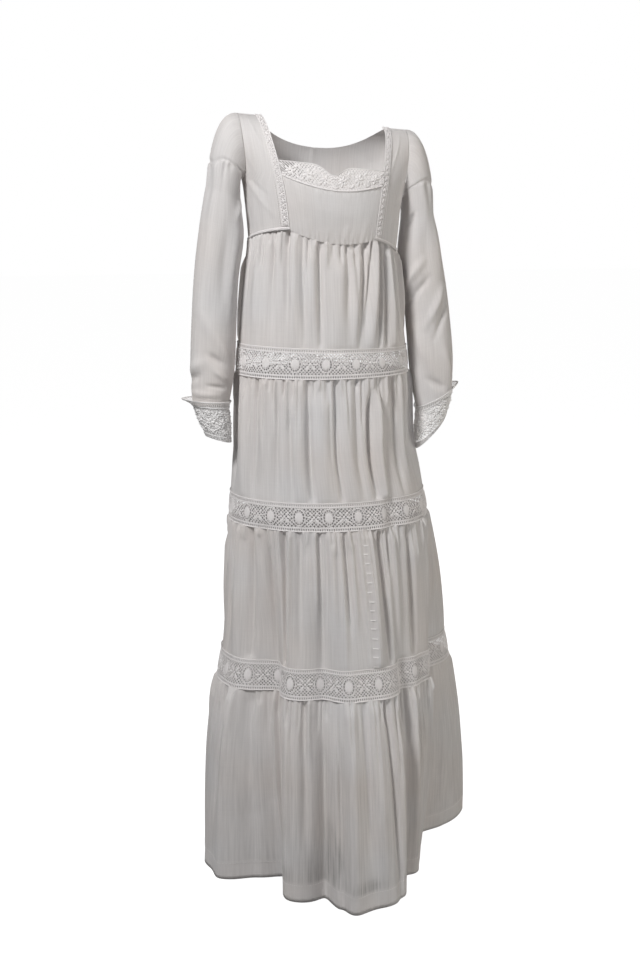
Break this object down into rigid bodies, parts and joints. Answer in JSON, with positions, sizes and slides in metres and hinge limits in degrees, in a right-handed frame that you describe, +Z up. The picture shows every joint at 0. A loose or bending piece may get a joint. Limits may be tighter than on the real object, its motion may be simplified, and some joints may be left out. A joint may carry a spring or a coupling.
{
  "type": "maxi dress",
  "caption": "Long-sleeved empire-line dress of sheer white voile, with a gathered tiered skirt, lace bands between the tiers, a lace neckline and flared lace cuffs.",
  "frame": {"origin": "midway between the two shoulder seams, at the height of the shoulder line, where the wearer carries the dress", "axes": "+Z up along the dress, the front faces -Y, +X to the wearer's left"},
  "size_m": [0.5859, 0.5572, 1.4531],
  "materials": {
    "voile": "sheer plain weave, matt",
    "lace": "thick cotton lace, matt",
    "trim": "raised cotton trim, matt"
  },
  "bodies": {
    "root": {"centre_front": "voile", "side_front_left": "voile", "side_front_right": "voile", "back_left": "voile", "back_right": "voile", "sleeve_left": "voile", "sleeve_right": "voile", "tier_1": "voile", "tier_2": "voile", "tier_3": "voile", "tier_4": "voile", "neckline_lace": "lace", "strap_lace_left": "lace", "strap_lace_right": "lace", "lace_band_1": "lace", "lace_band_2": "lace", "lace_band_3": "lace", "cuff_lace_left": "lace", "cuff_lace_right": "lace", "underbust_trim_left": "trim", "underbust_trim_right": "trim"}
  },
  "joints": []
}
